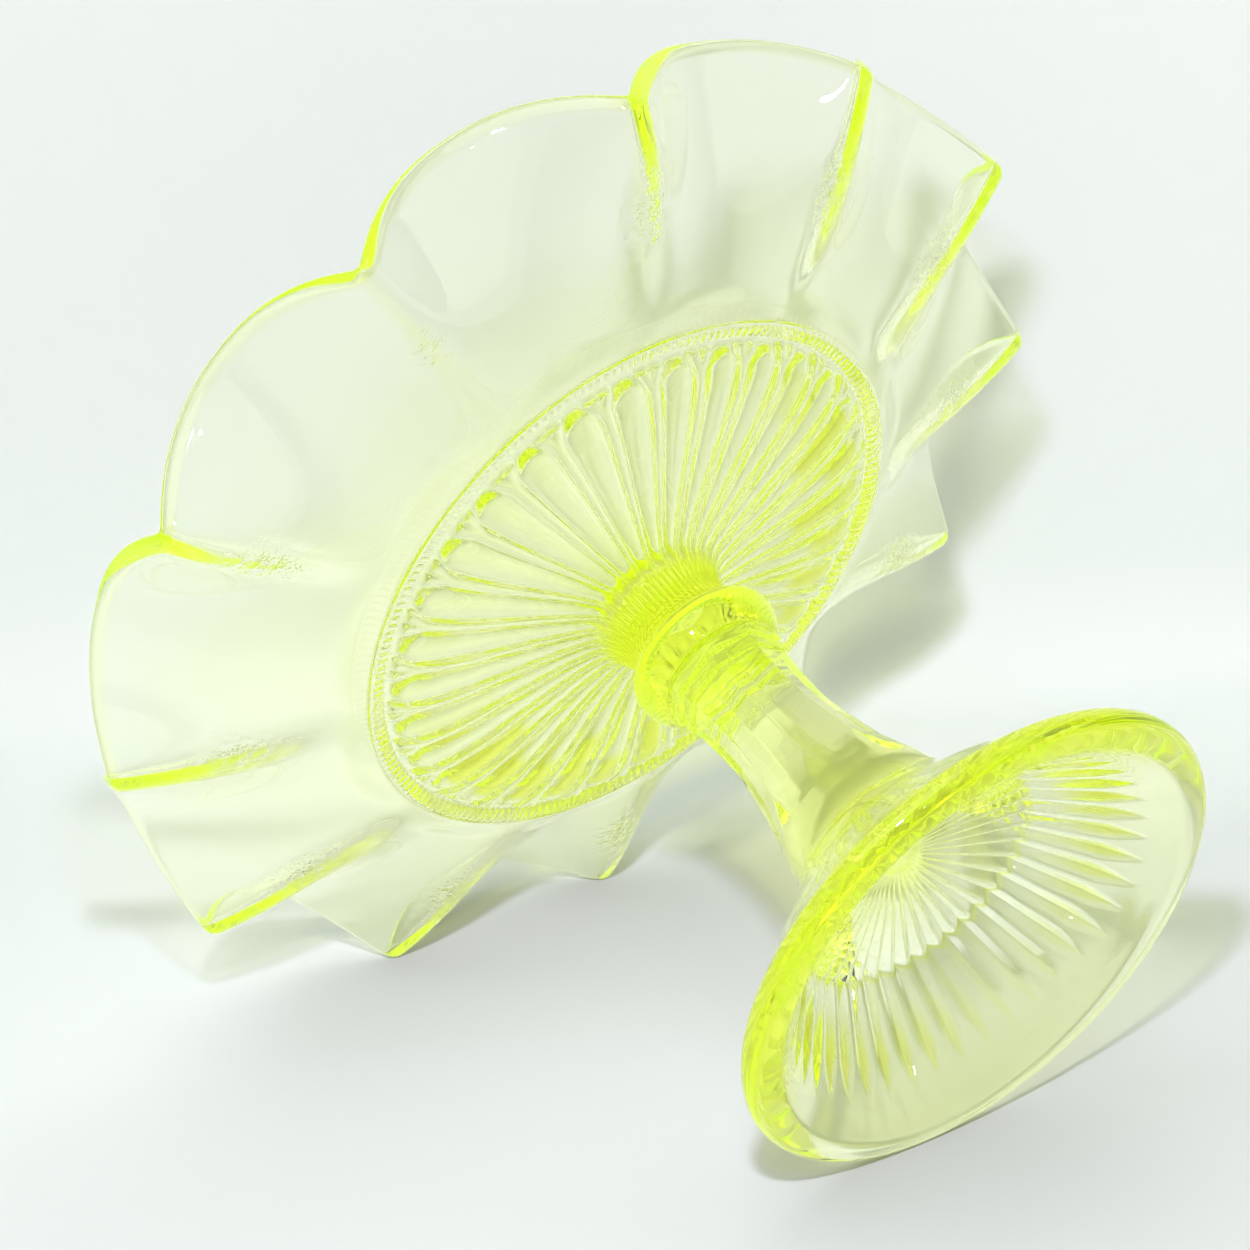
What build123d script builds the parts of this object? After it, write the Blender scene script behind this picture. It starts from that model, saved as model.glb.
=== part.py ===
from build123d import *
import math
import os

# Pressed-glass comport: a crimped bowl, a hot-glass wafer and a panelled stem with its foot.
# Millimetres. The foot rests on Z = 0, its centre is the origin, and the bowl opens towards +Z.

# ---- driving dimensions ----
BOWL_TIP_RADIUS = 110.0  # out to the points of the folds
BOWL_TIP_HEIGHT = 128.1
CREST_RADIUS = 104.0  # the rim between two folds leans in
CREST_HEIGHT = 142.9
FOLD_COUNT = 12
FIRST_FOLD_ANGLE = 156.5
FOLD_DRIFT = 5.05  # the folds were crimped by hand, so they crowd together on one side
FOLD_DRIFT_PHASE = 128.6
RING_RADIUS = 61.1  # the milled ring round the ribbed base
RING_HEIGHT = 112.4
NECK_RADIUS = 11.4
NECK_BEND_HEIGHT = 96.4  # above it the neck opens out into the ribbed disc
WAFER_RADIUS = 16.0
WAFER_TOP = 90.4
WAFER_BOTTOM = 82.2
WAFER_TOP_INSET = 1.6  # the flat top stops this far short of the widest place
WAFER_WIDEST_BELOW_TOP = 2.6
FOOT_RADIUS = 53.0

# ---- bowl wall ----
WALL_START_RADIUS = 57.5  # inside the base plate, which the wall grows out of
WALL_RISE_AT_RING = 2.9  # middle of the wall above the ring's face
WALL_AT_RING = 4.4
WALL_AT_RIM = 2.9
RIDGE_STRAIGHT_SHARE = 0.62  # a fold's keel runs almost straight, then turns up
CREST_STRAIGHT_SHARE = 0.5
RIM_LOBE_FLATNESS = 1.93
RIM_LOBE_ROUNDNESS = 0.71
RIM_PLAN_FLATNESS = 1.51
FOLD_SOFTNESS_AT_RIM = 0.10  # rounding of the fold, as a share of half a lobe
FOLD_SOFTNESS_AT_RING = 0.45
LOBE_STATIONS = (0.0, 0.04, 0.1, 0.2, 0.34, 0.5, 0.66, 0.8, 0.9, 0.96, 1.0)
WALL_STEPS = 7

# ---- base of the bowl ----
PLATE_TOP_AT_RING = 117.9
PLATE_TOP_AT_CENTRE = 112.2
PLATE_DISH = 1.6  # rise of the bowl's floor half-way out
PLATE_EDGE_SLOPE = 0.15
PLATE_EDGE_ROUNDING = (1.0, 0.6)
RING_INNER_RADIUS = 57.2
RING_RELIEF = 0.9  # the ring stands proud of the ribbed disc
RING_BEVEL = 0.8
TOOTH_COUNT = 210
TOOTH_DEPTH = 0.4
TOOTH_GAP_SHARE = 0.7  # of the pitch at the ring's face
MILLED_BAND = (57.7, 60.1)
DISC_UNDERSIDE = ((12.4, 101.1), (14.6, 103.7), (21.7, 105.6), (34.8, 107.4), (41.6, 108.3), (48.3, 109.6))
RIB_COUNT = 30  # broad ribs, with a slim ridge between each two
SLIM_RIDGE_PHASE = 8.5
RIB_END_RADIUS = 56.4
RIB_END_HEIGHT = 112.3
GROOVE_FROM_SLIM_RIDGE = 1.8
GROOVE_ANGLE = 2.0
GROOVE_DEPTH = 1.2
GROOVE_SHARE_ON_NECK = 0.4  # the grooves run out shallower down the neck
GROOVE_SHARE_AT_BEND = 0.3
GROOVE_SHARE_AT_RING = 0.5
GROOVE_ABOVE_WAFER = 0.6

# ---- stem and foot ----
PANEL_COUNT = 8
PANEL_PHASE = 40.0  # an edge between two panels lies at this angle
PANEL_START_HEIGHT = 30.0
PANEL_END_ARCH = ((23.0, 36.0), (16.6, 42.0))  # where a flat panel runs out into the round foot
STEM_WAIST = ((13.7, 48.9), (12.2, 56.5), (11.1, 65.0))
STEM_TOP = (11.5, 75.4)
PANEL_CUTTER_REACH = 40.0
CUTTER_CLEARANCE = 1.0
FOOT_FLARE = ((46.0, 9.6), (36.7, 17.0), (26.3, 24.6), (19.9, 31.0), (16.5, 39.7))
FOOT_EDGE_INSET = 2.6
FOOT_EDGE_TOP = 6.0
FOOT_TOP_DIRECTION = (-1, 0.65)
STEM_TOP_DIRECTION = (0.05, 1)
COLLAR_LOWER_RADIUS = 11.8
COLLAR_UPPER_RADIUS = 12.3
COLLAR_TOP_RADIUS = 12.9
COLLAR_STEP_HEIGHTS = (77.6, 79.9)
FOOT_EDGE_HEIGHT = 3.0
REST_INNER_RADIUS = 46.6
REST_OUTER_RADIUS = 50.6
LIP_POINT = (44.3, 1.6)  # on the rounded edge between the resting ring and the rays
HOLLOW_TOP = 26.9
HOLLOW_STEP_RADIUS = 26.3
HOLLOW_STEP_HEIGHT = 20.5
HOLLOW_STEP = 0.4
HOLLOW_CROWN_RADIUS = 7.0
HOLLOW_CROWN_HEIGHT = 26.0
RAY_COUNT = 42
RAY_PHASE = 2.2
RAY_TIP_RADIUS = 41.4
RAY_TIP_HEIGHT = 4.4
RAY_POINT_LENGTH = 4.5
RAY_POINT_BELOW_FACE = 0.3
RAY_DEPTH = 1.7
RAY_SHARE = 0.8  # of the pitch; thin ridges stay between the rays
HOLLOW_SLOPE = (HOLLOW_STEP_HEIGHT - RAY_TIP_HEIGHT) / (RAY_TIP_RADIUS - HOLLOW_STEP_RADIUS)


def fold_angle(index):
    """Angle of a fold in degrees, with the slow drift of hand crimping."""
    even = index * 360.0 / FOLD_COUNT
    return FIRST_FOLD_ANGLE + even + FOLD_DRIFT * math.cos(math.radians(even - FOLD_DRIFT_PHASE))


def rounded(distance, softness):
    """Distance from a fold, 0 to 1, with the sharp corner at 0 rounded off."""
    corner = math.hypot(distance, softness)
    return corner / math.hypot(1.0, softness)


def mix(a, b, share):
    return a + (b - a) * share


def wall_middle(out, along):
    """Radius and height of the wall's middle: out is 0 at the base and 1 at the rim, along crosses a lobe."""
    from_fold = 1.0 - abs(2.0 * along - 1.0)
    softness = mix(FOLD_SOFTNESS_AT_RING, FOLD_SOFTNESS_AT_RIM, out)
    near = 1.0 - rounded(from_fold, softness)
    arch = (1.0 - near**RIM_LOBE_FLATNESS) ** RIM_LOBE_ROUNDNESS
    plan = 1.0 - (1.0 - rounded(from_fold, FOLD_SOFTNESS_AT_RIM)) ** RIM_PLAN_FLATNESS
    soft_arch = (1.0 - (1.0 - rounded(0.0, softness)) ** RIM_LOBE_FLATNESS) ** RIM_LOBE_ROUNDNESS
    arch = (arch - soft_arch) / (1.0 - soft_arch)
    rim_radius = mix(BOWL_TIP_RADIUS, CREST_RADIUS, plan) - WALL_AT_RIM / 2
    radius = mix(WALL_START_RADIUS, rim_radius, out)
    start = RING_HEIGHT + WALL_RISE_AT_RING
    straight, crest_straight = RIDGE_STRAIGHT_SHARE, CREST_STRAIGHT_SHARE
    ridge = (BOWL_TIP_HEIGHT - start) * (straight * out + (1.0 - straight) * out**3)
    crest = (CREST_HEIGHT - start) * (crest_straight * out + (1.0 - crest_straight) * out**2)
    return radius, start + mix(ridge, crest, arch)


def wall_slope(out, along):
    """How much taller than thick the wall stands where it leans."""
    step = 0.01
    inner, outer = wall_middle(out - step, along), wall_middle(out + step, along)
    left, right = wall_middle(out, along - step), wall_middle(out, along + step)
    radial = (outer[1] - inner[1]) / (outer[0] - inner[0])
    across = 2.0 * step * math.radians(360.0 / FOLD_COUNT) * (left[0] + right[0]) / 2
    around = (right[1] - left[1]) / across
    return math.sqrt(1.0 + radial**2 + around**2)


def wall_section(index, along):
    """Closed outline of the wall in the upright plane at one place across a lobe."""
    turn = Rot(0, 0, mix(fold_angle(index), fold_angle(index + 1), along))
    upper, lower = [], []
    for step in range(WALL_STEPS):
        out = step / (WALL_STEPS - 1)
        radius, height = wall_middle(out, along)
        half = mix(WALL_AT_RING, WALL_AT_RIM, out) / 2 * wall_slope(out, along)
        upper.append((radius, 0, height + half))
        lower.append((radius, 0, height - half))
    rim_radius, rim_height = wall_middle(1.0, along)
    nose = (rim_radius + WALL_AT_RIM / 2, 0, rim_height + WALL_AT_RIM / 4)
    outline = Wire([
        Edge.make_spline([Vector(*p) for p in lower]),
        Edge.make_three_point_arc(Vector(*lower[-1]), Vector(*nose), Vector(*upper[-1])),
        Edge.make_spline([Vector(*p) for p in reversed(upper)]),
        Edge.make_line(Vector(*upper[0]), Vector(*lower[0])),
    ])
    return turn * outline


def bowl_lobe(index):
    """One lobe of the wall, from a fold to the next."""
    return Solid.make_loft([wall_section(index, along) for along in LOBE_STATIONS])


def under_disc(depth):
    """The ribbed disc's underside as a curve from the neck outwards, moved into the glass by depth."""
    bend, *rest = DISC_UNDERSIDE
    inwards = depth * GROOVE_SHARE_ON_NECK
    return Spline(
        (NECK_RADIUS - inwards, NECK_BEND_HEIGHT),
        (bend[0] - inwards, bend[1] + depth * GROOVE_SHARE_AT_BEND),
        *[(radius, height + depth) for radius, height in rest],
        (RIB_END_RADIUS, RIB_END_HEIGHT + depth * GROOVE_SHARE_AT_RING),
    )


def base_plate():
    """The ribbed disc, its ring and the neck, before the teeth and the ribs are cut."""
    edge_in, edge_down = PLATE_EDGE_ROUNDING
    top_edge = (RING_RADIUS - edge_in, PLATE_TOP_AT_RING)
    with BuildPart() as plate:
        with BuildSketch(Plane.XZ):
            with BuildLine():
                Polyline((0, WAFER_TOP), (NECK_RADIUS, WAFER_TOP), (NECK_RADIUS, NECK_BEND_HEIGHT))
                under_disc(0.0)
                Polyline(
                    (RIB_END_RADIUS, RIB_END_HEIGHT), (RING_INNER_RADIUS, RING_HEIGHT + RING_RELIEF),
                    (RING_INNER_RADIUS + RING_RELIEF, RING_HEIGHT),
                    (RING_RADIUS - RING_BEVEL, RING_HEIGHT), (RING_RADIUS, RING_HEIGHT + RING_BEVEL),
                    (RING_RADIUS, PLATE_TOP_AT_RING - edge_down), top_edge,
                )
                Spline(
                    top_edge, (RING_RADIUS / 2, PLATE_TOP_AT_CENTRE + PLATE_DISH),
                    (0, PLATE_TOP_AT_CENTRE), tangents=((-1, -PLATE_EDGE_SLOPE), (-1, 0)),
                )
                Line((0, PLATE_TOP_AT_CENTRE), (0, WAFER_TOP))
            make_face()
        revolve(axis=Axis.Z)
    return plate.part


def rib_groove():
    """One groove beside a rib, along the underside of the disc and down the neck."""
    neck_floor = NECK_RADIUS - GROOVE_DEPTH * GROOVE_SHARE_ON_NECK
    ring_floor = RIB_END_HEIGHT + GROOVE_DEPTH * GROOVE_SHARE_AT_RING
    end_height = WAFER_TOP + GROOVE_ABOVE_WAFER
    with BuildPart() as groove:
        with BuildSketch(Plane.XZ):
            with BuildLine():
                under_disc(GROOVE_DEPTH)
                Polyline(
                    (RIB_END_RADIUS, ring_floor), (RIB_END_RADIUS, end_height),
                    (neck_floor, end_height), (neck_floor, NECK_BEND_HEIGHT),
                )
            make_face()
        revolve(axis=Axis.Z, revolution_arc=GROOVE_ANGLE)
    return Rot(0, 0, -GROOVE_ANGLE / 2) * groove.part


def around(shape, count, first=0.0):
    """Copies of a shape, evenly spaced round the upright axis."""
    return [Rot(0, 0, first + 360.0 * i / count) * shape for i in range(count)]


def notch(radius, height, half, depth, below):
    """An upright V-shaped outline across the radius, its point in the glass, half a gap to each side."""
    wide = half * (depth + below) / depth
    return Wire.make_polygon([
        Vector(radius, -wide, height - below), Vector(radius, wide, height - below),
        Vector(radius, 0, height + depth),
    ])


def tooth_gap():
    """One gap between two teeth of the milled ring."""
    inner, outer = MILLED_BAND
    half = math.pi * RING_RADIUS / TOOTH_COUNT * TOOTH_GAP_SHARE
    outline = notch(inner, RING_HEIGHT, half, TOOTH_DEPTH, TOOTH_DEPTH / 4)
    return Solid.extrude(Face(outline), Vector(outer - inner, 0, 0))


def make_bowl():
    plate = base_plate()
    plate = plate.cut(*around(tooth_gap(), TOOTH_COUNT))
    bowl = plate.fuse(*[bowl_lobe(index) for index in range(FOLD_COUNT)])
    for side in (-GROOVE_FROM_SLIM_RIDGE, GROOVE_FROM_SLIM_RIDGE):
        bowl = bowl.cut(*around(rib_groove(), RIB_COUNT, first=SLIM_RIDGE_PHASE + side))
    return bowl


def make_wafer():
    """The gather of hot glass that joins the neck to the stem: flat above, rounded below."""
    top_edge = (WAFER_RADIUS - WAFER_TOP_INSET, WAFER_TOP)
    bottom_edge = (COLLAR_LOWER_RADIUS, WAFER_BOTTOM)
    with BuildPart() as wafer:
        with BuildSketch(Plane.XZ):
            with BuildLine():
                Polyline(bottom_edge, (0, WAFER_BOTTOM), (0, WAFER_TOP), top_edge)
                Spline(
                    top_edge, (WAFER_RADIUS, WAFER_TOP - WAFER_WIDEST_BELOW_TOP), bottom_edge,
                    tangents=((1, 0), (-1, -0.5)),
                )
            make_face()
        revolve(axis=Axis.Z)
    return wafer.part


def foot_and_stem_blank():
    """The stem and foot as turned round, before the panels and the hollow."""
    edge_top = (FOOT_RADIUS - FOOT_EDGE_INSET, FOOT_EDGE_TOP)
    lower_step, upper_step = COLLAR_STEP_HEIGHTS
    with BuildPart() as blank:
        with BuildSketch(Plane.XZ):
            with BuildLine():
                Line((0, 0), (REST_OUTER_RADIUS, 0))
                ThreePointArc((REST_OUTER_RADIUS, 0), (FOOT_RADIUS, FOOT_EDGE_HEIGHT), edge_top)
                Spline(
                    edge_top, *FOOT_FLARE, *STEM_WAIST, STEM_TOP,
                    tangents=(FOOT_TOP_DIRECTION, STEM_TOP_DIRECTION),
                )
                Polyline(
                    STEM_TOP, (COLLAR_LOWER_RADIUS, lower_step), (COLLAR_UPPER_RADIUS, lower_step),
                    (COLLAR_UPPER_RADIUS, upper_step), (COLLAR_TOP_RADIUS, upper_step),
                    (COLLAR_TOP_RADIUS, WAFER_BOTTOM), (0, WAFER_BOTTOM), (0, 0),
                )
            make_face()
        revolve(axis=Axis.Z)
    return blank.part


def panel_cutter():
    """What one flat panel takes off: all that lies outside a line that leans with the stem."""
    lower_step, upper_step = COLLAR_STEP_HEIGHTS
    above = WAFER_BOTTOM + CUTTER_CLEARANCE
    collar = (
        (COLLAR_LOWER_RADIUS, lower_step), (COLLAR_UPPER_RADIUS, lower_step),
        (COLLAR_UPPER_RADIUS, upper_step), (COLLAR_TOP_RADIUS, upper_step),
        (COLLAR_TOP_RADIUS, above),
    )
    with BuildPart() as cutter:
        with BuildSketch(Plane.XZ):
            with BuildLine():
                Spline(
                    (PANEL_CUTTER_REACH, PANEL_START_HEIGHT),
                    *at_flats(PANEL_END_ARCH + STEM_WAIST + (STEM_TOP,)),
                )
                Polyline(
                    *at_flats((STEM_TOP,) + collar), (PANEL_CUTTER_REACH, above),
                    (PANEL_CUTTER_REACH, PANEL_START_HEIGHT),
                )
            make_face()
        extrude(amount=PANEL_CUTTER_REACH, both=True)
    return cutter.part


def at_flats(corners):
    """Corner radii of the eight-sided stem, turned into the distance of its flats."""
    return [(radius * math.cos(math.pi / PANEL_COUNT), height) for radius, height in corners]


def hollow():
    """The dished underside of the foot, with the step where the plunger's insert met it."""
    inner_step = (HOLLOW_STEP_RADIUS - HOLLOW_STEP, HOLLOW_STEP_HEIGHT + HOLLOW_STEP * 2)
    with BuildPart() as space:
        with BuildSketch(Plane.XZ):
            with BuildLine():
                Polyline(
                    (0, HOLLOW_TOP), (0, -CUTTER_CLEARANCE), (REST_INNER_RADIUS, -CUTTER_CLEARANCE),
                    (REST_INNER_RADIUS, 0),
                )
                Spline(
                    (REST_INNER_RADIUS, 0), LIP_POINT, (RAY_TIP_RADIUS, RAY_TIP_HEIGHT),
                    tangents=((-0.5, 1), (-1, HOLLOW_SLOPE)),
                )
                Polyline(
                    (RAY_TIP_RADIUS, RAY_TIP_HEIGHT), (HOLLOW_STEP_RADIUS, HOLLOW_STEP_HEIGHT),
                    inner_step, (HOLLOW_CROWN_RADIUS, HOLLOW_CROWN_HEIGHT), (0, HOLLOW_TOP),
                )
            make_face()
        revolve(axis=Axis.Z)
    return space.part


def ray_notch(radius, height, depth):
    """The outline across a ray: its width keeps the same share of the pitch all the way in."""
    half = math.pi * radius / RAY_COUNT * RAY_SHARE
    return notch(radius, height, half, depth, CUTTER_CLEARANCE)


def ray_cutters():
    """One pressed ray under the foot: widest near its pointed outer end, tapering to the centre."""
    shoulder_radius = RAY_TIP_RADIUS - RAY_POINT_LENGTH
    shoulder = ray_notch(shoulder_radius, RAY_TIP_HEIGHT + RAY_POINT_LENGTH * HOLLOW_SLOPE, RAY_DEPTH)
    step_height = HOLLOW_STEP_HEIGHT + HOLLOW_STEP
    step = ray_notch(HOLLOW_STEP_RADIUS - HOLLOW_STEP / 2, step_height, RAY_DEPTH)
    inner_end = ray_notch(HOLLOW_CROWN_RADIUS, HOLLOW_CROWN_HEIGHT, RAY_DEPTH / 2)
    point = Vertex(RAY_TIP_RADIUS, 0, RAY_TIP_HEIGHT - RAY_POINT_BELOW_FACE)
    return [
        Solid.make_loft([point, shoulder], ruled=True),
        Solid.make_loft([shoulder, step], ruled=True),
        Solid.make_loft([step, inner_end], ruled=True),
    ]


def make_stem_and_foot():
    body = foot_and_stem_blank()
    half_panel = 180.0 / PANEL_COUNT
    body = body.cut(*around(panel_cutter(), PANEL_COUNT, first=PANEL_PHASE + half_panel))
    body = body.cut(hollow())
    for cutter in ray_cutters():
        body = body.cut(*around(cutter, RAY_COUNT, first=RAY_PHASE))
    return body


def main():
    os.makedirs("parts", exist_ok=True)
    nodes = {
        "bowl": make_bowl(),
        "wafer": make_wafer(),
        "stem_and_foot": make_stem_and_foot(),
    }
    for name, shape in nodes.items():
        shape.label = name
        export_step(shape, f"parts/{name}.step")
        box = shape.bounding_box()
        print(name, "solids", len(shape.solids()), "valid", shape.is_valid, "box", box.min, box.max)


main()
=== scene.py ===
import bpy
import math
import numpy as np
from mathutils import Matrix, Vector


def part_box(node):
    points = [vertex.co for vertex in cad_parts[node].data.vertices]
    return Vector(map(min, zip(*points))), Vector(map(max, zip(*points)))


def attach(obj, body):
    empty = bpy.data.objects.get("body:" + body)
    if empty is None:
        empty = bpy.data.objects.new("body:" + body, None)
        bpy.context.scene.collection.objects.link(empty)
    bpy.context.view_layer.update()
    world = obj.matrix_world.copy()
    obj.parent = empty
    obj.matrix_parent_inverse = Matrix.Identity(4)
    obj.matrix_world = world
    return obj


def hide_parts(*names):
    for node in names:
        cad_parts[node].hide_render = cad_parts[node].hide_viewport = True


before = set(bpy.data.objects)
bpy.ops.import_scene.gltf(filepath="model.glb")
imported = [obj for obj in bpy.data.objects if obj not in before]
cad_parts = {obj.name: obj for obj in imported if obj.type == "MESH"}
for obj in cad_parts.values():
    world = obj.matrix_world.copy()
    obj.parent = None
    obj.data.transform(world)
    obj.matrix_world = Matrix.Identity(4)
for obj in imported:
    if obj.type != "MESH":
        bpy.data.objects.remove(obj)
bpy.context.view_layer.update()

MM = 0.001
TURN = 2.0 * math.pi

# ---- sizes in millimetres, angles in radians ----
WAFER_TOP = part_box("wafer")[1][2] / MM
WAFER_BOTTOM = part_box("wafer")[0][2] / MM
FUSED = 0.03  # fused pieces run this far into each other, so light crosses the joint

FOLD_COUNT = 12
TIP_RADIUS = 110.0
TIP_HEIGHT = 128.1
CREST_RADIUS = 104.0
CREST_HEIGHT = 142.9
WALL_START_RADIUS = 57.5
WALL_START_HEIGHT = 115.3
WALL_AT_RING = 4.4
WALL_AT_RIM = 2.9
FOLD_SOFT_AT_RIM = 0.085
FOLD_SOFT_AT_RING = 0.45
RIB_COUNT = 30
RIB_PHASE = math.radians(2.5)  # middle of a pad
PAD_END_RADIUS = 55.9
PAINTED_LIME_SIDE = math.radians(36.0)  # the pads are painted lime on this side and the foot's rim on the opposite one, painted light standing in for light the glass refracts there
TEETH_PER_RIB = 7
PANEL_COUNT = 8
PANEL_PHASE = math.radians(40.0)  # an edge between two panels
RAY_COUNT = 42
RAY_PHASE = math.radians(2.2)
RAY_TIP_RADIUS = 41.4
RAY_SHOULDER_RADIUS = 36.4
RAY_DEPTH = 1.8
RAY_HALF_SHARE = 0.41  # half a ray's width, as a share of the sector it lies in
TOOL_MARK_RADIUS = 86.0
TOOL_MARK_LENGTH = 6.5
TOOL_MARK_WIDTH = 3.5
TOOL_BITE = 0.26
NECK_FLUTE_DEPTH = 0.42
LENS_ANGLE = math.radians(-89.0)  # a dimple in the wafer's side
PIT_ANGLE = math.radians(155.0)  # a pitted patch on it


# ---- small helpers ----
def mix(a, b, share):
    return a + (b - a) * share


def smooth(low, high, value):
    t = np.clip((value - low) / (high - low), 0.0, 1.0)
    return t * t * (3.0 - 2.0 * t)


def curve(points, spacing):
    """A smooth line through points, cut into steps of about the given length."""
    p = np.array(points, float)
    padded = np.vstack([2 * p[0] - p[1], p, 2 * p[-1] - p[-2]])
    out = []
    for a, b, c, d in zip(padded, padded[1:], padded[2:], padded[3:]):
        steps = max(2, int(round(np.linalg.norm(c - b) / spacing)))
        for t in np.arange(steps) / steps:
            out.append(0.5 * (2 * b + (c - a) * t + (2 * a - 5 * b + 4 * c - d) * t**2
                              + (3 * b - a - 3 * c + d) * t**3))
    out.append(p[-1])
    return np.array(out)


def waves(angle, height, seed, scale):
    """Slow smooth unevenness of hand-finished glass, between about -1 and 1."""
    rng = np.random.default_rng(seed)
    total = np.zeros_like(angle)
    for turns in (2, 3, 5, 8, 13):
        a, b, c = rng.uniform(0, TURN, 3)
        total += np.sin(turns * angle + a + 1.5 * np.sin(height / scale + b)) * math.cos(c) / math.sqrt(turns)
    return total / 1.6


class Skin:
    """A closed skin made of rings of points about the upright axis, from one pole to the other."""

    def __init__(self, name):
        self.name = name
        self.points, self.faces, self.marks, self.tints_and_lights = [], [], [], []
        self.last = None

    def _link(self, new):
        old, self.last = self.last, new
        if old is None:
            return
        (a, angles_a), (b, angles_b) = old, new
        if len(a) == 1:
            self.faces += [(a[0], b[(i + 1) % len(b)], b[i]) for i in range(len(b))]
        elif len(b) == 1:
            self.faces += [(a[i], a[(i + 1) % len(a)], b[0]) for i in range(len(a))]
        elif len(a) == len(b):
            n = len(a)
            self.faces += [(a[i], a[(i + 1) % n], b[(i + 1) % n], b[i]) for i in range(n)]
        else:
            self._zip(a, angles_a, b, angles_b)

    def _zip(self, a, angles_a, b, angles_b):
        apart = np.angle(np.exp(1j * (angles_a - angles_b[0])))
        start = int(np.argmin(np.abs(apart)))
        a = a[start:] + a[:start]
        angles_a = angles_b[0] + apart[start] + (np.roll(angles_a, -start) - angles_a[start]) % TURN
        i = j = 0
        while i < len(a) or j < len(b):
            next_a = angles_a[i + 1] if i + 1 < len(a) else angles_a[0] + TURN
            next_b = angles_b[j + 1] if j + 1 < len(b) else angles_b[0] + TURN
            if j >= len(b) or (i < len(a) and next_a <= next_b):
                self.faces.append((a[i], a[(i + 1) % len(a)], b[j % len(b)]))
                i += 1
            else:
                self.faces.append((a[i % len(a)], b[(j + 1) % len(b)], b[j]))
                j += 1

    def pole(self, height, tint_and_light=0.0):
        self.points.append((0.0, 0.0, height))
        self.marks.append(0.0)
        self.tints_and_lights.append(tint_and_light)
        self._link(([len(self.points) - 1], None))

    def ring(self, angles, radius, height, mark=0.0, tint_and_light=0.0):
        radius = np.broadcast_to(radius, angles.shape)
        height = np.broadcast_to(height, angles.shape)
        first = len(self.points)
        self.points += list(zip(radius * np.cos(angles), radius * np.sin(angles), height))
        self.marks += list(np.broadcast_to(mark, angles.shape))
        self.tints_and_lights += list(np.broadcast_to(tint_and_light, angles.shape))
        self._link((list(range(first, first + len(angles))), angles))

    def finish(self):
        mesh = bpy.data.meshes.new(self.name)
        mesh.from_pydata([(x * MM, y * MM, z * MM) for x, y, z in self.points], [], self.faces)
        mesh.validate()
        for polygon in mesh.polygons:
            polygon.use_smooth = True
        # the second value paints lime on the glass by position, not from its thickness: partly its own
        # yellow-green, partly painted light where the glass gathers and refracts light
        for name, values in (("worked", self.marks), ("tint_and_light", self.tints_and_lights)):
            store = mesh.attributes.new(name, "FLOAT", "POINT")
            store.data.foreach_set("value", np.array(values, np.float32))
        piece = bpy.data.objects.new(self.name, mesh)
        bpy.context.collection.objects.link(piece)
        return piece


def spread(count):
    """Angles spaced evenly once round."""
    return TURN * np.arange(count) / count


def sawtooth(angles, count, phase):
    """Place across one of count equal sectors, from -0.5 to 0.5, with 0 in its middle."""
    turn = (angles - phase) * count / TURN
    return turn - np.round(turn)


# ---- the bowl's crimped wall ----
def fold_angle(index):
    even = TURN * index / FOLD_COUNT
    return math.radians(156.5 + 5.05 * math.cos(even - math.radians(128.6))) + even


FOLDS = np.array([fold_angle(i) for i in range(FOLD_COUNT + 1)])


def lobe_place(angles):
    """The share of the way across its lobe that an angle lies, and the lobe's width as an angle."""
    turned = (angles - FOLDS[0]) % TURN + FOLDS[0]
    index = np.clip(np.searchsorted(FOLDS, turned, side="right") - 1, 0, FOLD_COUNT - 1)
    return (turned - FOLDS[index]) / (FOLDS[index + 1] - FOLDS[index]), FOLDS[index + 1] - FOLDS[index]


def rounded(distance, softness):
    return np.hypot(distance, softness) / np.hypot(1.0, softness)


def wall_middle(out, angles):
    """Radius and height of the middle of the wall; out is 0 at the base and 1 at the rim."""
    along, _ = lobe_place(angles)
    from_fold = 1.0 - np.abs(2.0 * along - 1.0)
    soft = mix(FOLD_SOFT_AT_RING, FOLD_SOFT_AT_RIM, out)
    near = 1.0 - rounded(from_fold, soft)
    arch = (1.0 - near**1.93) ** 0.71
    low = (1.0 - (1.0 - rounded(0.0, soft)) ** 1.93) ** 0.71
    arch = (arch - low) / (1.0 - low)
    plan = 1.0 - (1.0 - rounded(from_fold, FOLD_SOFT_AT_RIM)) ** 1.51
    rim = mix(TIP_RADIUS, CREST_RADIUS, plan) - WALL_AT_RIM / 2
    radius = mix(WALL_START_RADIUS, rim, out)
    ridge = (TIP_HEIGHT - WALL_START_HEIGHT) * (0.62 * out + 0.38 * out**3)
    crest = (CREST_HEIGHT - WALL_START_HEIGHT) * (0.5 * out + 0.5 * out**2)
    uneven = 0.16 * out * waves(angles, radius, 5, 9.0)
    return radius, WALL_START_HEIGHT + mix(ridge, crest, arch) + uneven


def wall_faces(out, angles):
    """Radius, lower and upper height of the wall: every point stands half the thickness off the middle."""
    radius, height = wall_middle(out, angles)
    beyond = wall_middle(out + 0.01, angles)
    slope = (beyond[1] - height) / (beyond[0] - radius)
    half = mix(WALL_AT_RING, WALL_AT_RIM, out) / 2 * np.sqrt(1.0 + slope**2)
    lower, upper = height - half, height + half
    for tilt in np.linspace(-math.pi / 2, math.pi / 2, 33):
        _, beside = wall_middle(out, angles + half * math.sin(tilt) / radius)
        lower = np.minimum(lower, beside - half * math.cos(tilt))
        upper = np.maximum(upper, beside + half * math.cos(tilt))
    return radius, lower, upper, slope


def beside_fold(radius, angles):
    """Distance along the arc from the nearest fold."""
    along, width = lobe_place(angles)
    return (0.5 - np.abs(along - 0.5)) * width * radius


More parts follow.
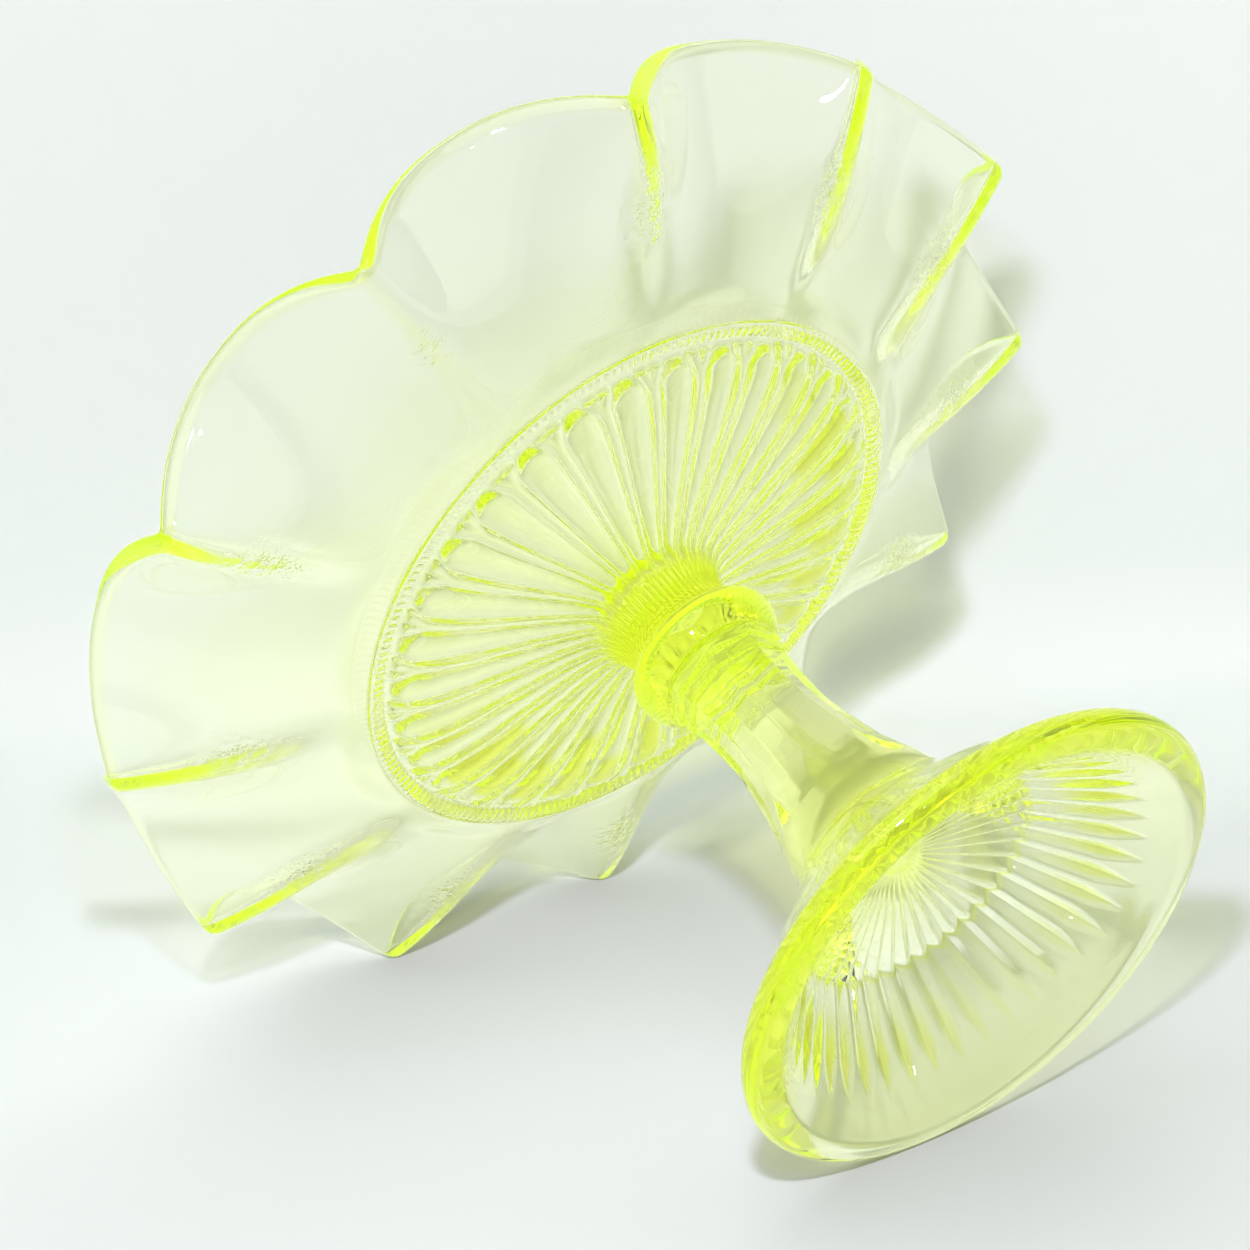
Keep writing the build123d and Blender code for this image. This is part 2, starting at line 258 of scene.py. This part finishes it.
def tool_marks(radius, angles):
    """Where the crimping tool bit at the inner end of each fold."""
    across = np.exp(-(beside_fold(radius, angles) / TOOL_MARK_WIDTH) ** 2)
    return across * np.exp(-((radius - TOOL_MARK_RADIUS) / TOOL_MARK_LENGTH) ** 2)


def keel_tint_and_light(radius, angles, half_width):
    """How strongly the keel of each fold is painted lime: partly the glass's own colour, partly painted light
    gathered along the fold.
    """
    return np.exp(-(beside_fold(radius, angles) / half_width) ** 2) * smooth(74.0, 88.0, radius)


# ---- the ribbed base and neck ----
UNDERSIDE = curve([
    (11.4, 90.4), (11.4, 93.5), (11.5, 96.5), (11.8, 99.0), (12.6, 101.3), (13.9, 103.1), (15.9, 104.2),
    (18.8, 104.9), (21.7, 105.5), (28.1, 106.5), (34.8, 107.4), (41.6, 108.4), (48.3, 109.8),
    (54.4, 111.9), (57.0, 113.1),
], 0.7)
MILLED_RING = (  # radius, height and depth of the gaps between the teeth
    (57.1, 113.1, 0.0), (57.45, 112.85, 0.1), (57.75, 112.5, 0.45), (58.2, 112.25, 0.62),
    (59.0, 112.2, 0.62), (59.8, 112.2, 0.62), (60.05, 112.35, 0.4), (60.3, 112.6, 0.1),
    (60.45, 112.62, 0.0), (60.6, 112.5, 0.0), (60.8, 112.48, 0.0), (60.95, 112.6, 0.0),
    (61.05, 112.8, 0.0), (61.25, 113.0, 0.0),
)
INNER_FLOOR = curve([(0.0, 112.2), (15.0, 112.6), (30.5, 113.8), (45.0, 115.6), (56.0, 117.3)], 2.2)


def rib_relief(radius, angles):
    """How far the pads and the slim ridges between them stand out of the base, in millimetres."""
    across = sawtooth(angles, RIB_COUNT, RIB_PHASE)
    size = np.clip(0.42 + 0.022 * (radius - 11.4), 0.3, 1.25)
    half_pad = 0.34
    inside = np.clip(1.0 - (across / half_pad) ** 2, 0.0, 1.0)
    end = PAD_END_RADIUS - 2.2 * (across / half_pad) ** 2
    rounded_end = np.sqrt(np.clip((end - radius) / 1.7, 0.0, 1.0))
    pad = 0.8 * size * inside**0.6 * rounded_end
    spread_out = 0.5 - 0.13 * smooth(51.5, 56.6, radius)
    ridge_from = np.abs(np.abs(across) - spread_out)
    ridge = 0.85 * size * np.sqrt(np.clip(1.0 - (ridge_from / 0.135) ** 2, 0.0, 1.0))
    ridge = ridge * (1.0 - smooth(56.3, 57.1, radius))
    return np.maximum(pad, ridge)


def flutes(angles):
    """Half-round flutes down the neck, one for each pad and each ridge."""
    return NECK_FLUTE_DEPTH * np.sqrt(np.abs(np.cos(RIB_COUNT * (angles - RIB_PHASE))))


def base_tint_and_light(radius, height, angles):
    """How strongly the neck and base are painted lime: the neck most, with patches on the pads of one side.
    Partly the glass's own colour, partly painted light: the patches stand in for light the glass refracts on
    that side.
    """
    neck = 1.0 - smooth(101.0, 104.4, height)
    across = sawtooth(angles, RIB_COUNT, RIB_PHASE)
    on_pad = 1.0 - smooth(0.2, 0.3, np.abs(across))
    pad = np.round((angles - RIB_PHASE) * RIB_COUNT / TURN)
    inner = 36.0 + 5.0 * np.sin(pad * 2.4)
    extent = smooth(inner, inner + 5.0, radius) * (1.0 - smooth(52.0, 54.0, radius + 8.0 * across**2))
    edge = 0.2 * np.sin(pad * 4.1)
    side = smooth(-0.35 + edge, 0.1 + edge, np.cos(angles - PAINTED_LIME_SIDE))
    return np.maximum(neck, 0.10 + 0.87 * on_pad * extent * side)


def add_base(skin):
    # the joint with the wafer is painted lime: partly the glass's own colour, partly painted light
    skin.pole(WAFER_TOP - FUSED, 0.5)
    fine = spread(RIB_COUNT * 44)
    skin.ring(fine, 4.0, WAFER_TOP - FUSED, tint_and_light=0.5)
    skin.ring(fine, 9.0, WAFER_TOP - FUSED, tint_and_light=0.5)
    skin.ring(fine, 11.1 + flutes(fine), WAFER_TOP - FUSED, tint_and_light=0.5)
    ahead = np.gradient(UNDERSIDE, axis=0)
    for (radius, height), (along_r, along_z) in zip(UNDERSIDE[1:-2], ahead[1:-2]):
        length = math.hypot(along_r, along_z)
        out_r, out_z = along_z / length, -along_r / length
        relief = mix(flutes(fine), rib_relief(np.full_like(fine, radius), fine), smooth(99.0, 103.0, height))
        tint_and_light = base_tint_and_light(radius, height, fine)
        skin.ring(fine, radius + out_r * relief, height + out_z * relief, tint_and_light=tint_and_light)
    teeth = spread(RIB_COUNT * TEETH_PER_RIB * 10)
    bite = np.abs(np.sin(teeth * RIB_COUNT * TEETH_PER_RIB / 2))
    for radius, height, depth in MILLED_RING:
        skin.ring(teeth, radius, height + depth * (1.0 - bite), tint_and_light=0.08)


def make_bowl():
    skin = Skin("bowl_glass_body")
    add_base(skin)
    along = np.linspace(0.0, 1.0, 41)[:-1]
    along = along - 0.11 * np.sin(TURN * along)
    angles = np.concatenate([mix(a, b, along) for a, b in zip(FOLDS, FOLDS[1:])])
    outs = np.concatenate([[0.088, 0.1, 0.115], np.linspace(0.135, 0.93, 40), [0.95, 0.968, 0.984, 1.0]])
    rows = []
    for out in outs:
        radius, lower, upper, slope = wall_faces(out, angles)
        mark = tool_marks(radius, angles)
        coarse = waves(angles * 23, radius * 4, 8, 3.0)
        rough = TOOL_BITE * mark * (coarse + waves(angles * 51, radius * 9, 9, 2.0))
        flush = mix(113.1 + 0.32 * (radius - 61.3), lower, smooth(62.0, 68.0, radius))
        rows.append((radius, flush + 0.3 * rough, upper + rough, slope, mark))
    # the fold keels are painted lime on both faces of the wall, and the rim more so: partly the glass's own
    # colour, partly painted light
    for radius, lower, upper, slope, mark in rows:
        skin.ring(angles, radius, lower, 0.2 * mark, 0.15 * keel_tint_and_light(radius, angles, 1.7))
    radius, lower, upper, slope, mark = rows[-1]
    lean = np.sqrt(1.0 + slope**2)
    middle, half = (upper + lower) / 2, (upper - lower) / 2
    rim_tint_and_light = 0.08 + 0.45 * keel_tint_and_light(radius, angles, 3.0)
    for tilt in np.radians([-70, -50, -30, -10, 10, 30, 50, 70]):
        outwards = 1.5 * math.cos(tilt)
        skin.ring(angles, radius + outwards / lean, middle + half * math.sin(tilt) + outwards * slope / lean,
                  tint_and_light=rim_tint_and_light)
    for radius, lower, upper, slope, mark in reversed(rows[2:]):
        skin.ring(angles, radius, upper, mark, 0.1 * keel_tint_and_light(radius, angles, 1.2))
    even = spread(360)
    for radius, height in reversed(INNER_FLOOR[1:]):
        skin.ring(even, radius, height + 0.05 * waves(even, np.full_like(even, radius), 3, 8.0))
    skin.pole(INNER_FLOOR[0][1])
    return skin.finish()


# ---- the wafer ----
WAFER_EDGE = curve([
    (13.0, 82.19), (13.5, 82.5), (14.3, 83.5), (15.2, 85.1), (15.85, 86.8), (15.95, 88.2),
    (15.75, 89.4), (15.45, 90.15), (15.1, 90.5),
], 0.25)
WAFER_SHOULDER = (
    (14.7, 90.52), (14.2, 90.47), (13.4, 90.43), (12.3, 90.43), (11.4, 90.43), (9.0, 90.43), (4.0, 90.43),
)


def patch(angles, middle, half_width):
    """A soft patch on the wafer's side."""
    return np.exp(-((np.angle(np.exp(1j * (angles - middle)))) * 15.5 / half_width) ** 2)


def make_wafer():
    skin = Skin("wafer_glass_body")
    angles = spread(360)
    # the wafer is painted lime, most round its edge: partly the glass's own colour, partly painted light
    skin.pole(WAFER_BOTTOM - FUSED, 0.6)
    for radius in (4.0, 8.0, 11.4, 12.6):
        skin.ring(angles, radius, WAFER_BOTTOM - FUSED, tint_and_light=0.6)
    dimple = patch(angles, LENS_ANGLE, 2.6)
    pits = patch(angles, PIT_ANGLE, 3.4)
    for radius, height in WAFER_EDGE:
        share = smooth(82.6, 86.0, height)
        uneven = 0.22 * share * waves(angles, np.full_like(angles, height), 11, 3.0)
        level = math.exp(-((height - 85.4) / 1.6) ** 2)
        sunk = 0.35 * dimple * level
        rough = 0.16 * pits * level * waves(angles * 37, np.full_like(angles, height * 7), 12, 2.0)
        skin.ring(angles, radius + uneven * 0.5 - sunk + rough, height,
                  np.maximum(pits * level, 0.5 * dimple * level), 0.9)
    for radius, height in WAFER_SHOULDER:
        skin.ring(angles, radius, height, tint_and_light=0.6)
    skin.pole(WAFER_TOP + FUSED, 0.6)
    return skin.finish()


# ---- the stem and foot ----
STEM_LINE = curve([
    (50.6, 0.0), (52.0, 0.65), (52.8, 1.8), (53.0, 3.1), (52.4, 4.6), (50.6, 6.0), (46.0, 9.5), (41.4, 13.2),
    (36.7, 16.9), (31.0, 20.9), (26.3, 24.5), (22.4, 28.1), (19.9, 31.0), (17.9, 35.0), (16.5, 39.7),
    (15.0, 44.3), (13.7, 48.9), (12.2, 56.5), (11.3, 62.0), (11.1, 66.0), (11.15, 71.0), (11.4, 75.0),
    (11.5, 75.9),
], 0.9)
FLAT_LINE = (  # height, and how far out the panels' edges reach there
    (30.0, 40.0), (36.0, 23.0), (42.0, 16.6), (48.9, 13.7), (56.5, 12.2), (62.0, 11.3), (66.0, 11.1),
    (71.0, 11.15), (76.0, 11.5),
)
COLLAR = (
    (11.5, 76.4), (11.75, 76.75), (12.05, 76.9), (12.2, 77.3), (12.22, 78.2), (12.15, 79.0), (12.1, 79.45),
    (12.35, 79.7), (12.75, 79.85), (12.9, 80.25), (12.92, 81.0), (12.92, 81.9), (12.92, 82.15),
)
HOLLOW_CROWN = curve([(1.2, 26.9), (7.0, 26.0), (16.0, 23.8), (25.7, 21.35)], 0.9)
HOLLOW_STEP = ((26.0, 21.2), (26.15, 20.95), (26.35, 20.6), (26.6, 20.25))
HOLLOW_WALL = [(r, 20.25 - (r - 26.6) * 15.85 / 14.8) for r in np.linspace(27.3, 41.4, 26)]
FOOT_LIP = curve([
    (41.4, 4.4), (42.4, 3.35), (43.4, 2.45), (44.3, 1.75), (45.2, 1.0), (46.0, 0.4),
    (46.8, 0.08), (48.2, 0.0),
], 0.5)


def panelled(radius, height, angles):
    """The round outline cut by eight flats, with softened edges."""
    flat = math.cos(math.pi / PANEL_COUNT)
    across = sawtooth(angles, PANEL_COUNT, PANEL_PHASE + math.pi / PANEL_COUNT) * TURN / PANEL_COUNT
    heights, radii = zip(*FLAT_LINE)
    if height < heights[0]:
        return np.full_like(angles, radius)
    reach = radius if height > heights[-1] else np.interp(height, heights, radii)
    cut = reach * flat / np.cos(across)
    soft = 0.05
    return np.minimum(cut, radius) - soft * np.log1p(np.exp(-np.abs(cut - radius) / soft))


def ray_relief(radius, angles):
    """Depth of the pressed rays under the foot, in millimetres."""
    across = np.abs(sawtooth(angles, RAY_COUNT, RAY_PHASE))
    pitch = TURN * radius / RAY_COUNT
    if radius > RAY_SHOULDER_RADIUS:
        point = max((RAY_TIP_RADIUS - radius) / (RAY_TIP_RADIUS - RAY_SHOULDER_RADIUS), 0.0)
        half = RAY_HALF_SHARE * point**0.7
        deepest = RAY_DEPTH * point**0.6
    else:
        half, deepest = RAY_HALF_SHARE, min(RAY_DEPTH, 0.42 * pitch)
    if half <= 0.0:
        return np.zeros_like(angles)
    inside = np.clip(1.0 - across / half, 0.0, 1.0)
    return deepest * (0.85 * inside + 0.15 * inside**2) * smooth(2.5, 6.0, radius)


def make_stem_and_foot():
    skin = Skin("foot_glass_body")
    fine = spread(RAY_COUNT * 20)
    skin.pole(HOLLOW_CROWN[0][1])
    # painted light under the foot: the rays' leaves and a thin line at the step are painted lime, standing in
    # for light they refract; the leaves are paler on the pads' lime side
    paler = 0.75 * np.exp(-(np.angle(np.exp(1j * (fine - PAINTED_LIME_SIDE))) / 0.55) ** 2)
    for radius, height in [*HOLLOW_CROWN, *HOLLOW_STEP, *HOLLOW_WALL]:
        relief = ray_relief(radius, fine)
        step = math.exp(-((radius - 26.2) / 0.35) ** 2)
        leaf = smooth(29.0, 36.0, radius) * smooth(0.35, 0.9, relief)
        leaf = leaf * (1.0 - paler)
        tint_and_light = np.minimum(0.05 + 0.04 * relief + 0.7 * step + 0.75 * leaf, 1.0)
        skin.ring(fine, radius, height + relief, tint_and_light=tint_and_light)
    across = np.arange(112) / 112
    across = across - 0.1 * np.sin(TURN * across)  # closer together at the edges between panels
    even = (PANEL_PHASE + (np.arange(PANEL_COUNT)[:, None] + across[None, :]) * TURN / PANEL_COUNT).ravel()
    # the foot's rim and the bottom of the stem are painted lime on the side opposite the pads' patches:
    # painted light standing in for light refracted there
    tinted_side = smooth(-0.1, 0.5, -np.cos(even - PAINTED_LIME_SIDE))
    for radius, height in FOOT_LIP[1:]:
        skin.ring(even, radius, height, tint_and_light=0.05 + 0.88 * tinted_side * smooth(42.5, 46.5, radius))
    for radius, height in STEM_LINE:
        uneven = 0.08 * smooth(2.0, 8.0, height) * waves(even, np.full_like(even, height), 17, 9.0)
        tint_and_light = 0.09 + 0.84 * tinted_side * (1.0 - smooth(6.0, 10.0, height))
        skin.ring(even, panelled(radius, height, even) + uneven, height, tint_and_light=tint_and_light)
    # the collar and the stem's top are painted lime: partly the glass's own colour, partly painted light
    for radius, height in COLLAR:
        skin.ring(even, panelled(radius, height, even), height, tint_and_light=0.3)
    for radius in (12.85, 12.6, 8.0, 4.0):
        skin.ring(even, panelled(radius, 81.0, even), WAFER_BOTTOM + FUSED, tint_and_light=0.5)
    skin.pole(WAFER_BOTTOM + FUSED, 0.5)
    return skin.finish()


# ---- materials ----
def nodes_of(material):
    material.use_nodes = True
    tree = material.node_tree
    tree.nodes.clear()
    return tree


# painted glow: a faint emission all over the glass, partly its fluorescence, partly standing in for light it
# gathers
GLOW = 0.013
GLOW_COLOR = (0.75, 1.0, 0.15, 1.0)
PALE = (0.985, 1.0, 0.965, 1.0)
# LIME is partly the glass's own yellow-green, partly painted light where the glass gathers and refracts light
LIME = (0.885, 0.96, 0.004, 1.0)
ABSORB_COLOR = (0.96, 0.99, 0.0, 1.0)
ABSORB_DENSITY = 30.0
SHADE_SQUARE_ON = (0.97, 0.975, 0.94, 1.0)
SHADE_EDGE_ON = (0.55, 0.57, 0.42, 1.0)
GRAIN_SCALE = 900.0
GRAIN_BUMP = 0.0008
WORKED_ROUGHNESS = 0.3


def glass(name):
    """Clear yellow-green glass, mixed from pale to lime by a value on the skin, partly its own colour and
    partly painted light, with a faint painted glow; lamps shine through it.
    """
    material = bpy.data.materials.new(name)
    tree = nodes_of(material)
    new, link = tree.nodes.new, tree.links.new
    shader = new("ShaderNodeBsdfPrincipled")
    # painted lime: partly the glass's own colour, partly painted light
    tint_and_light_attribute = new("ShaderNodeAttribute")
    tint_and_light_attribute.attribute_name = "tint_and_light"
    colour = new("ShaderNodeMix")
    colour.data_type = "RGBA"
    colour.inputs[6].default_value = PALE
    colour.inputs[7].default_value = LIME
    link(tint_and_light_attribute.outputs["Fac"], colour.inputs[0])
    link(colour.outputs[2], shader.inputs["Base Color"])
    shader.inputs["IOR"].default_value = 1.5
    shader.inputs["Transmission Weight"].default_value = 1.0
    shader.inputs["Emission Color"].default_value = GLOW_COLOR
    shader.inputs["Emission Strength"].default_value = GLOW

    place = new("ShaderNodeTexCoord")
    worked = new("ShaderNodeAttribute")
    worked.attribute_name = "worked"
    grain = new("ShaderNodeTexNoise")
    grain.inputs["Scale"].default_value = GRAIN_SCALE
    grain.inputs["Detail"].default_value = 3.0
    link(place.outputs["Object"], grain.inputs["Vector"])
    rough = new("ShaderNodeMapRange")
    rough.inputs["From Min"].default_value = 0.15
    rough.inputs["From Max"].default_value = 1.0
    rough.inputs["To Min"].default_value = 0.0
    rough.inputs["To Max"].default_value = WORKED_ROUGHNESS
    link(worked.outputs["Fac"], rough.inputs["Value"])
    link(rough.outputs["Result"], shader.inputs["Roughness"])
    bitten = new("ShaderNodeMath")
    bitten.operation = "MULTIPLY"
    link(grain.outputs["Fac"], bitten.inputs[0])
    link(worked.outputs["Fac"], bitten.inputs[1])
    fine_bump = new("ShaderNodeBump")
    fine_bump.inputs["Strength"].default_value = 0.5
    fine_bump.inputs["Distance"].default_value = GRAIN_BUMP
    link(bitten.outputs[0], fine_bump.inputs["Height"])
    link(fine_bump.outputs["Normal"], shader.inputs["Normal"])

    through = new("ShaderNodeBsdfTransparent")
    facing = new("ShaderNodeLayerWeight")
    facing.inputs["Blend"].default_value = 0.5
    lost = new("ShaderNodeMapRange")
    lost.interpolation_type = "SMOOTHSTEP"
    lost.inputs["From Min"].default_value = 0.25
    lost.inputs["From Max"].default_value = 0.85
    link(facing.outputs["Facing"], lost.inputs["Value"])
    shade = new("ShaderNodeMix")
    shade.data_type = "RGBA"
    shade.inputs[6].default_value = SHADE_SQUARE_ON
    shade.inputs[7].default_value = SHADE_EDGE_ON
    link(lost.outputs["Result"], shade.inputs[0])
    link(shade.outputs[2], through.inputs["Color"])
    path = new("ShaderNodeLightPath")
    either = new("ShaderNodeMixShader")
    link(path.outputs["Is Shadow Ray"], either.inputs["Fac"])
    link(shader.outputs["BSDF"], either.inputs[1])
    link(through.outputs["BSDF"], either.inputs[2])
    depth = new("ShaderNodeVolumeAbsorption")
    depth.inputs["Color"].default_value = ABSORB_COLOR
    depth.inputs["Density"].default_value = ABSORB_DENSITY
    out = new("ShaderNodeOutputMaterial")
    link(either.outputs["Shader"], out.inputs["Surface"])
    link(depth.outputs["Volume"], out.inputs["Volume"])
    return material


bowl = make_bowl()
wafer = make_wafer()
foot = make_stem_and_foot()
for piece, node, slot in (
    (bowl, "bowl", "bowl_glass"), (wafer, "wafer", "wafer_glass"), (foot, "stem_and_foot", "foot_glass"),
):
    piece.data.materials.append(glass(slot))
    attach(piece, "root")
    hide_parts(node)


# ---- stage: the dish lies on its foot's rim and on two folds of its bowl ----
DOWN = Vector((0.2068, 0.898, -0.3884)).normalized()
FLOOR_OFFSET = 47.91 * MM
VIEW_RIGHT = Vector((0.7379903, -0.34943519, -0.5772914))
VIEW_DOWN = Vector((-0.10055207, 0.78899162, -0.60612004))
VIEW_FORWARD = Vector((0.66727775, 0.50535856, 0.54713173))
CAMERA_PLACE = Vector((-0.71145, -0.52994, -0.47395))
FOCAL_SHARE = 4.37688  # focal length over the width of the frame
up = -DOWN
away = (VIEW_FORWARD - VIEW_FORWARD.dot(up) * up).normalized()
aside = away.cross(up)
centre = Vector((0.0, 0.0, 0.075))
ground = centre + DOWN * (FLOOR_OFFSET - centre.dot(DOWN))


def on_stage(right, forward, height):
    return ground + aside * right + away * forward + up * height


PAPER_COLOR = (0.955, 1.0, 0.98, 1.0)
PAPER_TONE = 0.905
# painted light on the paper: darker towards the camera, a painted shade where the lamps' light falls off, and
# lighter along the bend, a painted highlight, more at the right
FRONT_PAINTED_SHADE = 0.22
BEND_PAINTED_HIGHLIGHT = (0.05, 0.15)  # at the left and at the right


def make_stage():
    """A sheet of pale paper: level under the dish, then bent up behind it, not quite square to the camera.
    Its tone has painted shade towards the front and a painted highlight along the bend.
    """
    back, bend, top, width = 0.190, 0.028, 1.6, 2.4
    slant = math.radians(4.0)
    line = [(forward, 0.0) for forward in (-2.2, -0.5, -0.25, -0.12, 0.0, 0.1)]
    for step in range(17):
        turn = math.pi / 2 * step / 16
        line.append((back - bend + bend * math.sin(turn), bend - bend * math.cos(turn)))
    line.append((back, top))
    sides = (-1.0, -0.05, 0.05, 1.0)
    points = [
        on_stage(side * width * math.cos(slant) + f * math.sin(slant),
                 f * math.cos(slant) - side * width * math.sin(slant), h)
        for f, h in line for side in sides
    ]
    corners = [4 * i + j for i in range(len(line) - 1) for j in range(3)]
    faces = [(corner, corner + 1, corner + 5, corner + 4) for corner in corners]
    mesh = bpy.data.meshes.new("stage_paper")
    mesh.from_pydata([tuple(p) for p in points], [], faces)
    for polygon in mesh.polygons:
        polygon.use_smooth = True
    shade = mesh.attributes.new("shade", "FLOAT", "POINT")
    # painted shade towards the front, painted highlight along the bend
    shade.data.foreach_set("value", [
        PAPER_TONE - FRONT_PAINTED_SHADE * float(smooth(0.0, -0.35, f))
        + BEND_PAINTED_HIGHLIGHT[side > 0.0] * math.exp(-((f - back + bend) ** 2 + h**2) / bend**2)
        for f, h in line for side in sides
    ])
    paper = bpy.data.objects.new("stage_paper", mesh)
    bpy.context.collection.objects.link(paper)
    material = bpy.data.materials.new("paper")
    tree = nodes_of(material)
    new, link = tree.nodes.new, tree.links.new
    shader = new("ShaderNodeBsdfDiffuse")
    shade = new("ShaderNodeAttribute")
    shade.attribute_name = "shade"
    tone = new("ShaderNodeMix")
    tone.data_type = "RGBA"
    tone.inputs[6].default_value = (0.0, 0.0, 0.0, 1.0)
    tone.inputs[7].default_value = PAPER_COLOR
    link(shade.outputs["Fac"], tone.inputs[0])
    link(tone.outputs[2], shader.inputs["Color"])
    clear = new("ShaderNodeBsdfTransparent")
    side = new("ShaderNodeNewGeometry")
    pick = new("ShaderNodeMixShader")
    link(side.outputs["Backfacing"], pick.inputs["Fac"])
    link(shader.outputs["BSDF"], pick.inputs[1])
    link(clear.outputs["BSDF"], pick.inputs[2])
    out = new("ShaderNodeOutputMaterial")
    link(pick.outputs["Shader"], out.inputs["Surface"])
    mesh.materials.append(material)
    return paper


make_stage()


def lamp(name, place, target, size, power, colour, cone=None):
    data = bpy.data.lights.new(name, "SPOT" if cone else "AREA")
    if cone:
        data.spot_size, data.spot_blend, data.shadow_soft_size = cone, 1.0, size / 2
    else:
        data.shape, data.size = "DISK", size
    data.energy = power
    data.color = colour
    light = bpy.data.objects.new(name, data)
    aim = (target - place).normalized()
    light.matrix_world = Matrix.Translation(place) @ aim.to_track_quat("-Z", "Y").to_matrix().to_4x4()
    bpy.context.collection.objects.link(light)
    return light


def from_view(turn, rise, distance):
    """A place round the dish: turn is to the camera's right, rise above the floor, both in degrees."""
    turn, rise = math.radians(turn), math.radians(rise)
    flat = aside * math.sin(turn) - away * math.cos(turn)
    return centre + (flat * math.cos(rise) + up * math.sin(rise)) * distance


key_place, key_target = on_stage(-0.029, -0.539, 0.485), on_stage(-0.03, 0.19, 0.40)
key = lamp("key_light", key_place, key_target, 0.045, 4.6, (1.0, 0.985, 0.985))
lamp("top_light", from_view(-35.0, 62.0, 1.2), centre, 1.2, 5.6, (0.98, 1.0, 0.99))
# stands in for the light that the glass gathers on the paper under the bowl
gathered = lamp("gathered_light", from_view(-3.0, 33.0, 0.8), on_stage(-0.046, 0.045, 0.0), 0.12, 9.5,
                (1.0, 1.0, 0.98), cone=math.radians(13.5))
gathered.visible_glossy = gathered.visible_transmission = False
front = lamp("front_light", from_view(20.0, 24.0, 0.95), centre, 0.035, 0.12, (1.0, 1.0, 1.0))
key.visible_transmission = front.visible_transmission = False

world = bpy.data.worlds.new("studio")
bpy.context.scene.world = world
world.use_nodes = True
tree = world.node_tree
sky = tree.nodes["Background"]
sky.inputs["Color"].default_value = (0.90, 0.96, 0.94, 1.0)
heading = tree.nodes.new("ShaderNodeTexCoord")
along = tree.nodes.new("ShaderNodeVectorMath")
along.operation = "DOT_PRODUCT"
along.inputs[1].default_value = away
room = tree.nodes.new("ShaderNodeMapRange")  # the room before the stage is a little dimmer
room.inputs["From Min"].default_value = -1.0
room.inputs["From Max"].default_value = 0.1
room.inputs["To Min"].default_value = 0.82
room.inputs["To Max"].default_value = 1.04
tree.links.new(heading.outputs["Generated"], along.inputs[0])
tree.links.new(along.outputs["Value"], room.inputs["Value"])
tree.links.new(room.outputs["Result"], sky.inputs["Strength"])
world.cycles_visibility.diffuse = False

# ---- camera ----
lens = bpy.data.cameras.new("camera")
lens.sensor_width = 36.0
lens.lens = lens.sensor_width * FOCAL_SHARE
lens.clip_start = 0.01
lens.clip_end = 20.0
camera = bpy.data.objects.new("camera", lens)
turned = Matrix((VIEW_RIGHT, -VIEW_DOWN, -VIEW_FORWARD)).transposed().to_4x4()
camera.matrix_world = Matrix.Translation(CAMERA_PLACE) @ turned
bpy.context.collection.objects.link(camera)
scene = bpy.context.scene
scene.camera = camera
scene.view_settings.view_transform = "Standard"
scene.cycles.max_bounces = 64
scene.cycles.transmission_bounces = 64
scene.cycles.glossy_bounces = 64
scene.cycles.transparent_max_bounces = 24
scene.cycles.caustics_refractive = False
scene.cycles.caustics_reflective = False
scene.cycles.sample_clamp_indirect = 4.0
